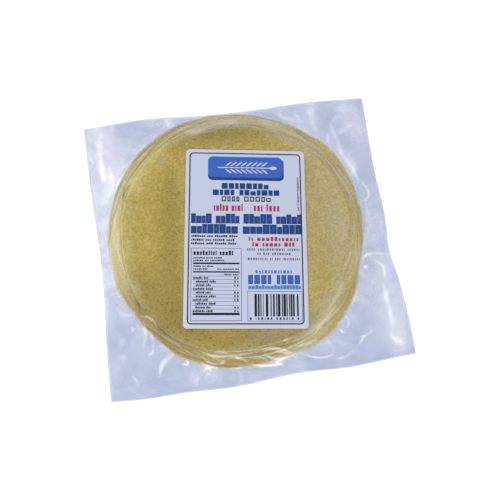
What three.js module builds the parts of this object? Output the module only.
// A clear sealed pouch that lies flat, drawn tight over a stack of ten raw
// wholewheat rotis, with a paper label stuck on the middle of its upper film.
//
// Millimetres, +Z up. The pouch rests on z = 0 with its long sides along X, and
// the origin is the middle of its box, at the bottom. The pouch with what it
// holds is one closed solid: its top is the upper film as it drapes over the
// stepped rims of the rotis, and its flat base is the face that it lies on.

import * as THREE from 'three';

// Pouch: the cut size of the film at its corners, and the heights of the pack
const pouchWidth = 249.6;
const pouchDepth = 231;
const packHeight = 12.2;
const crownFall = 0.7; // how much lower the crown is at the rim than in its middle
const flangeHeight = 1.9; // height of the flange's middle plane beside the stack
const flangeDroop = 0.9; // how much lower it hangs at the cut edge
const flangeThickness = 0.7;
const filmReach = 11; // how far outside a roti's edge the upper film comes down
const baseReach = 10; // the same for the lower film
const sealShare = 0.9; // the films have met at this share of the way to the edge
const drapePower = 2.4; // steeper at the shoulder than at the flange

// The cut edges bow: place along the side, reach, and how far out of the straight
const sideSwells = {
  bottom: [
    { at: -95, reach: 30, out: 2.6 },
    { at: -28, reach: 40, out: 4.2 },
    { at: 70, reach: 34, out: 2.8 },
  ],
  right: [
    { at: -95, reach: 30, out: 1.1 },
    { at: -26, reach: 22, out: -3.5 },
    { at: 50, reach: 45, out: -2.2 },
  ],
  top: [{ at: 75, reach: 45, out: 2.4 }, { at: -72, reach: 40, out: 3.4 }],
  left: [{ at: -12, reach: 55, out: -3.1 }],
};

// Broad soft folds of the flange: middle, direction in degrees, length, width, height
const flangeFolds = [
  { x: 105, y: -66, turn: 97, length: 58, width: 7, height: 1.5 },
  { x: 98, y: 88, turn: 62, length: 46, width: 8, height: 1.3 },
  { x: 74, y: 103, turn: 86, length: 30, width: 6, height: 1.0 },
  { x: -52, y: 110, turn: 94, length: 24, width: 6, height: 0.9 },
  { x: -108, y: 78, turn: 112, length: 52, width: 7, height: 1.4 },
  { x: -112, y: 30, turn: 168, length: 20, width: 7, height: 0.8 },
  { x: -102, y: -80, turn: 48, length: 50, width: 8, height: 1.4 },
  { x: -58, y: -109, turn: 93, length: 24, width: 6, height: 1.0 },
  { x: 32, y: -109, turn: 88, length: 22, width: 6, height: 0.9 },
  { x: 76, y: -101, turn: 138, length: 44, width: 7, height: 1.3 },
  { x: 112, y: 24, turn: 15, length: 22, width: 8, height: 0.7 },
];

// Rotis, bottom first: centre from the middle of the stack, and radius
const stackX = -6;
const stackY = 3;
const rotis = [
  { x: -5.5, y: 7.5, radius: 102 },
  { x: 2, y: 8, radius: 102.5 },
  { x: -4, y: 6, radius: 102 },
  { x: 4.5, y: 8, radius: 102.5 },
  { x: 4.5, y: 5.5, radius: 102.5 },
  { x: -0.5, y: -6.5, radius: 102 },
  { x: 1, y: -7, radius: 102.5 },
  { x: -4, y: -3.5, radius: 102 },
  { x: 1.5, y: 4, radius: 102 },
  { x: 1.5, y: -0.5, radius: 99.5 },
];
// Hand-rolled rounds are uneven and a little square: waves round the edge, their
// share of the radius, and how far they turn from one roti to the next, in radians
const rotiLobes = [
  { waves: 2, share: 0.01, turn: 2.4 },
  { waves: 3, share: 0.007, turn: 1.7 },
  { waves: 4, share: 0.018, turn: 1.92 },
  { waves: 5, share: 0.004, turn: 4.1 },
];

// Label: a common roll size, stuck on a little askew
const labelWidth = 101.6;
const labelHeight = 152.4;
const labelX = -0.4;
const labelY = -0.4;
const labelTurn = -8.3; // degrees
const labelCorner = 3.2;
const labelThickness = 0.25;
const labelGap = 0.35; // clearance over the film

// Steps of the meshes
const stepsPerSide = 28;
const crownShares = [0.22, 0.44, 0.64, 0.8, 0.9];
const rimSteps = 10;
const rimMargin = 3; // the fine rings start this far inside the innermost edge
const flangeSteps = 8;
const baseShares = [0.3, 0.6, 1];
const baseFlangeShares = [0.12, 0.35, 0.65, 1];
const labelColumns = 16;
const labelRows = 20;
const cornerRows = 3;

const radians = THREE.MathUtils.degToRad;

// Sum of bell curves along a side
function bow(swells, place) {
  return swells.reduce((sum, { at, reach, out }) => sum + out * Math.exp(-(((place - at) / reach) ** 2)), 0);
}

// The pouch's cut outline, counterclockwise from the lower left corner
function pouchOutline(steps) {
  const halfWidth = pouchWidth / 2;
  const halfDepth = pouchDepth / 2;
  const rightAt = (y) => halfWidth + bow(sideSwells.right, y);
  const leftAt = (y) => -halfWidth - bow(sideSwells.left, y);
  const topAt = (x) => halfDepth + bow(sideSwells.top, x);
  const bottomAt = (x) => -halfDepth - bow(sideSwells.bottom, x);
  const corners = [[-1, -1], [1, -1], [1, 1], [-1, 1]].map(([sx, sy]) => ({
    x: sx > 0 ? rightAt(sy * halfDepth) : leftAt(sy * halfDepth),
    y: sy > 0 ? topAt(sx * halfWidth) : bottomAt(sx * halfWidth),
  }));
  const sides = [
    (x) => ({ x, y: bottomAt(x) }),
    (y) => ({ x: rightAt(y), y }),
    (x) => ({ x, y: topAt(x) }),
    (y) => ({ x: leftAt(y), y }),
  ];
  const points = [];
  sides.forEach((side, s) => {
    const along = s % 2 === 0 ? 'x' : 'y';
    const [from, to] = [corners[s], corners[(s + 1) % 4]];
    points.push(from);
    for (let i = 1; i < steps; i += 1) {
      points.push(side(THREE.MathUtils.lerp(from[along], to[along], i / steps)));
    }
  });
  return points;
}

// How far roti i's edge lies from the stack's centre in the direction of an angle
function rotiEdge(i, angle) {
  const { x, y, radius } = rotis[i];
  const uneven = rotiLobes.reduce(
    (sum, { waves, share, turn }) => sum + share * Math.sin(waves * angle + turn * i),
    0,
  );
  const along = x * Math.cos(angle) + y * Math.sin(angle);
  return along + Math.sqrt((radius * (1 + uneven)) ** 2 - x * x - y * y + along * along);
}

// 1 up to an edge, then down to 0 at the end of the reach
function drape(beyondEdge, reach) {
  const share = Math.min(Math.max(beyondEdge / reach, 0), 1);
  return (1 - share) ** drapePower;
}

// One ray of the pack from the stack's centre: its angle, the distances at which it
// leaves each roti, the nearest and farthest of them, and that of the cut edge
function makeRay(angle, cut) {
  const edges = rotis.map((_, i) => rotiEdge(i, angle));
  return { angle, edges, inner: Math.min(...edges), outer: Math.max(...edges), cut };
}

// Height of the flange's middle plane
function flangePlane(x, y, ray, r) {
  const outward = Math.max(r - ray.outer, 0) / Math.max(ray.cut - ray.outer, 1);
  const folds = flangeFolds.reduce((sum, fold) => {
    const turn = radians(fold.turn);
    const dx = x - fold.x;
    const dy = y - fold.y;
    const along = dx * Math.cos(turn) + dy * Math.sin(turn);
    const across = dy * Math.cos(turn) - dx * Math.sin(turn);
    const bell = Math.exp(-((across / fold.width) ** 2) - (2 * along / fold.length) ** 4);
    return sum + fold.height * bell;
  }, 0);
  return flangeHeight - flangeDroop * outward + folds;
}

// Upper film: every roti carries an equal share of the height, out to its own
// edge, and the film drapes from edge to edge and down to the flange
function upperFilm(ray, r) {
  const [x, y] = [stackX + r * Math.cos(ray.angle), stackY + r * Math.sin(ray.angle)];
  const carried = ray.edges.reduce((sum, edge) => {
    const reach = Math.min(filmReach, (ray.cut - edge) * sealShare);
    return sum + drape(r - edge, reach) / ray.edges.length;
  }, 0);
  const crown = packHeight - crownFall * (r / ray.outer) ** 2;
  const flange = flangePlane(x, y, ray, r) + flangeThickness / 2;
  return THREE.MathUtils.lerp(flange, crown, carried);
}

// Lower film: flat under the bottom roti, then up to the flange
function lowerFilm(ray, r) {
  const [x, y] = [stackX + r * Math.cos(ray.angle), stackY + r * Math.sin(ray.angle)];
  const flange = flangePlane(x, y, ray, r) - flangeThickness / 2;
  return flange * (1 - drape(r - ray.edges[0], Math.min(baseReach, (ray.cut - ray.edges[0]) * sealShare)));
}

// A closed mesh from two discs of rings with one shared count of rays: the upper
// disc faces up, the lower one down, and a wall joins their last rings
function closedDiscs(upperCentre, upperRings, lowerCentre, lowerRings) {
  const positions = [];
  const indices = [];
  const rays = upperRings[0].length;
  const addDisc = (centre, rings, facesUp) => {
    const start = positions.length / 3;
    positions.push(...centre);
    rings.forEach((ring) => ring.forEach((p) => positions.push(...p)));
    const at = (ring, ray) => start + 1 + ring * rays + (ray % rays);
    const add = (a, b, c) => indices.push(...(facesUp ? [a, b, c] : [a, c, b]));
    for (let k = 0; k < rays; k += 1) {
      add(start, at(0, k), at(0, k + 1));
      for (let j = 1; j < rings.length; j += 1) {
        add(at(j - 1, k), at(j, k), at(j, k + 1));
        add(at(j - 1, k), at(j, k + 1), at(j - 1, k + 1));
      }
    }
    return (ray) => at(rings.length - 1, ray);
  };
  const upperRim = addDisc(upperCentre, upperRings, true);
  const lowerRim = addDisc(lowerCentre, lowerRings, false);
  for (let k = 0; k < rays; k += 1) {
    indices.push(upperRim(k), lowerRim(k), lowerRim(k + 1));
    indices.push(upperRim(k), lowerRim(k + 1), upperRim(k + 1));
  }
  const geometry = new THREE.BufferGeometry();
  geometry.setAttribute('position', new THREE.Float32BufferAttribute(positions, 3));
  geometry.setIndex(indices);
  geometry.computeVertexNormals();
  return geometry;
}

// Radii of the upper film's rings along a ray: the crown, the stepped rim, the flange
function upperRadii(ray) {
  const rimStart = ray.inner - rimMargin;
  const radii = crownShares.map((share) => rimStart * share);
  for (let j = 0; j <= rimSteps; j += 1) {
    radii.push(THREE.MathUtils.lerp(rimStart, ray.outer, j / rimSteps));
  }
  for (let j = 1; j <= flangeSteps; j += 1) {
    radii.push(THREE.MathUtils.lerp(ray.outer, ray.cut, (j / flangeSteps) ** 1.3));
  }
  return radii;
}

function lowerRadii(ray) {
  const flat = ray.edges[0];
  return [
    ...baseShares.map((share) => flat * share),
    ...baseFlangeShares.map((share) => THREE.MathUtils.lerp(flat, ray.cut, share)),
  ];
}

function makePouch() {
  const rays = pouchOutline(stepsPerSide).map(({ x, y }) => {
    const [dx, dy] = [x - stackX, y - stackY];
    return makeRay(Math.atan2(dy, dx), Math.hypot(dx, dy));
  });
  const surface = (radiiOf, heightAt) => {
    const columns = rays.map((ray) => radiiOf(ray).map((r) => [
      stackX + r * Math.cos(ray.angle),
      stackY + r * Math.sin(ray.angle),
      heightAt(ray, r),
    ]));
    return columns[0].map((_, ring) => columns.map((column) => column[ring]));
  };
  return closedDiscs(
    [stackX, stackY, packHeight],
    surface(upperRadii, upperFilm),
    [stackX, stackY, 0],
    surface(lowerRadii, lowerFilm),
  );
}

// Half the label's width at a height above its middle, less where a corner rounds
function labelHalfWidth(v) {
  const intoCorner = Math.max(Math.abs(v) - (labelHeight / 2 - labelCorner), 0);
  return labelWidth / 2 - labelCorner + Math.sqrt(Math.max(labelCorner ** 2 - intoCorner ** 2, 0));
}

// Rows of the label, closer together in its rounded corners
function labelRowHeights() {
  const straight = labelHeight / 2 - labelCorner;
  const corner = [];
  for (let i = cornerRows; i >= 1; i -= 1) {
    corner.push(straight + labelCorner * Math.sin((i / cornerRows) * (Math.PI / 2)));
  }
  const middle = [];
  for (let i = 0; i <= labelRows; i += 1) {
    middle.push(THREE.MathUtils.lerp(straight, -straight, i / labelRows));
  }
  return [...corner, ...middle, ...corner.map((v) => -v).reverse()];
}

// Height of the upper film at a point of the plan inside the rim, where the cut
// edge has no part in it
function filmHeightAt(x, y) {
  const [dx, dy] = [x - stackX, y - stackY];
  return upperFilm(makeRay(Math.atan2(dy, dx), Infinity), Math.hypot(dx, dy));
}

// The label is a thin sheet that follows the film under it
function makeLabel() {
  const turn = radians(labelTurn);
  const rows = labelRowHeights();
  const columns = labelColumns + 1;
  const layer = rows.length * columns;
  const positions = [];
  [labelGap, labelGap + labelThickness].forEach((lift) => rows.forEach((v) => {
    for (let i = 0; i < columns; i += 1) {
      const u = labelHalfWidth(v) * (2 * i / labelColumns - 1);
      const x = labelX + u * Math.cos(turn) - v * Math.sin(turn);
      const y = labelY + u * Math.sin(turn) + v * Math.cos(turn);
      positions.push(x, y, filmHeightAt(x, y) + lift);
    }
  }));
  const indices = [];
  const quad = (a, b, c, d) => indices.push(a, b, c, a, c, d);
  for (let j = 0; j < rows.length - 1; j += 1) {
    for (let i = 0; i < labelColumns; i += 1) {
      const at = j * columns + i;
      quad(at, at + 1, at + columns + 1, at + columns);
      quad(layer + at, layer + at + columns, layer + at + columns + 1, layer + at + 1);
    }
  }
  const rim = [];
  for (let i = 0; i < labelColumns; i += 1) rim.push(i);
  for (let j = 0; j < rows.length - 1; j += 1) rim.push(j * columns + labelColumns);
  for (let i = labelColumns; i > 0; i -= 1) rim.push((rows.length - 1) * columns + i);
  for (let j = rows.length - 1; j > 0; j -= 1) rim.push(j * columns);
  rim.forEach((at, k) => {
    const next = rim[(k + 1) % rim.length];
    quad(at, layer + at, layer + next, next);
  });
  const geometry = new THREE.BufferGeometry();
  geometry.setAttribute('position', new THREE.Float32BufferAttribute(positions, 3));
  geometry.setIndex(indices);
  geometry.computeVertexNormals();
  return geometry;
}

const pouch = new THREE.Mesh(
  makePouch(),
  new THREE.MeshStandardMaterial({ color: 0xc9b98c, roughness: 0.25, metalness: 0 }),
);
pouch.name = 'pouch';

const label = new THREE.Mesh(
  makeLabel(),
  new THREE.MeshStandardMaterial({ color: 0xe6e7f1, roughness: 0.55, metalness: 0 }),
);
label.name = 'label';

// The middle of the pouch's box, at the bottom, is the origin
const roti_pack = new THREE.Group();
pouch.geometry.computeBoundingBox();
const middle = pouch.geometry.boundingBox.getCenter(new THREE.Vector3());
[pouch, label].forEach((mesh) => {
  mesh.geometry.translate(-middle.x, -middle.y, 0);
  roti_pack.add(mesh);
});

export default roti_pack;
